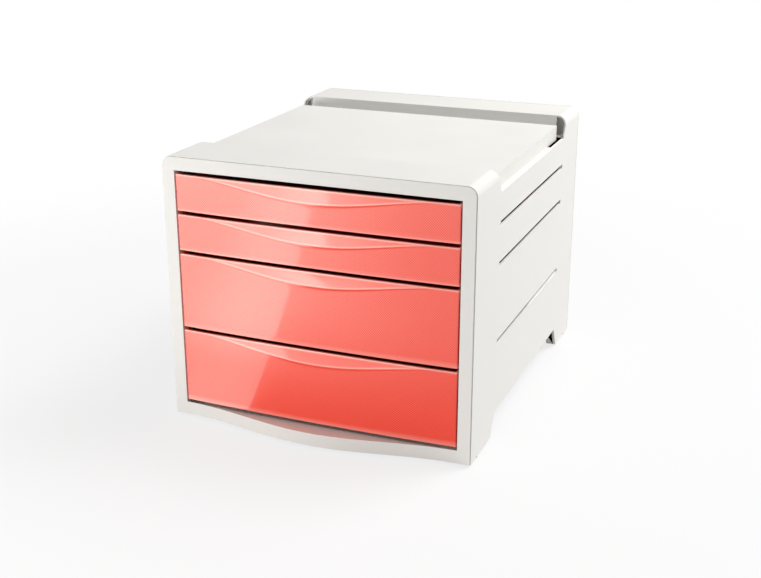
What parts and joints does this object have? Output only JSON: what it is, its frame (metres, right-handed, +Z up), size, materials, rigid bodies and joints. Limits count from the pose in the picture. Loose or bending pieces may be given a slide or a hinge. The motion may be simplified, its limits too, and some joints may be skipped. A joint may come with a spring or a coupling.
{
  "type": "desktop drawer cabinet",
  "caption": "Desktop cabinet for A4 paper with shallow and deep sliding drawers in a moulded casing with a recessed top shelf.",
  "frame": {"origin": "on the table under the middle of the cabinet's outline", "axes": "+Z up; the drawers open towards -Y; +X to the right of someone facing the drawers"},
  "size_m": [0.285, 0.365, 0.245],
  "materials": {
    "casing": "satin",
    "drawer_front": "gloss",
    "drawer_tray": "gloss",
    "rubber": "matte"
  },
  "bodies": {
    "casing": {"front_bezel": "casing", "left_side_panel": "casing", "right_side_panel": "casing", "base_panel": "casing", "front_deck": "casing", "top_shelf": "casing", "rear_rail": "casing", "back_cover": "casing", "left_top_runner": "casing", "left_upper_runner": "casing", "left_lower_runner": "casing", "right_top_runner": "casing", "right_upper_runner": "casing", "right_lower_runner": "casing", "front_left_foot": "rubber", "front_right_foot": "rubber", "rear_left_foot": "rubber", "rear_right_foot": "rubber"},
    "top_drawer": {"top_drawer_front": "drawer_front", "top_drawer_tray": "drawer_tray"},
    "upper_drawer": {"upper_drawer_front": "drawer_front", "upper_drawer_tray": "drawer_tray"},
    "lower_drawer": {"lower_drawer_front": "drawer_front", "lower_drawer_tray": "drawer_tray"},
    "bottom_drawer": {"bottom_drawer_front": "drawer_front", "bottom_drawer_tray": "drawer_tray"}
  },
  "joints": [
    {"name": "top_drawer_slide", "type": "slide", "parent": "casing", "child": "top_drawer", "axis": [0, -1, 0], "range_m": [0, 0.25]},
    {"name": "upper_drawer_slide", "type": "slide", "parent": "casing", "child": "upper_drawer", "axis": [0, -1, 0], "range_m": [0, 0.25]},
    {"name": "lower_drawer_slide", "type": "slide", "parent": "casing", "child": "lower_drawer", "axis": [0, -1, 0], "range_m": [0, 0.25]},
    {"name": "bottom_drawer_slide", "type": "slide", "parent": "casing", "child": "bottom_drawer", "axis": [0, -1, 0], "range_m": [0, 0.25]}
  ]
}
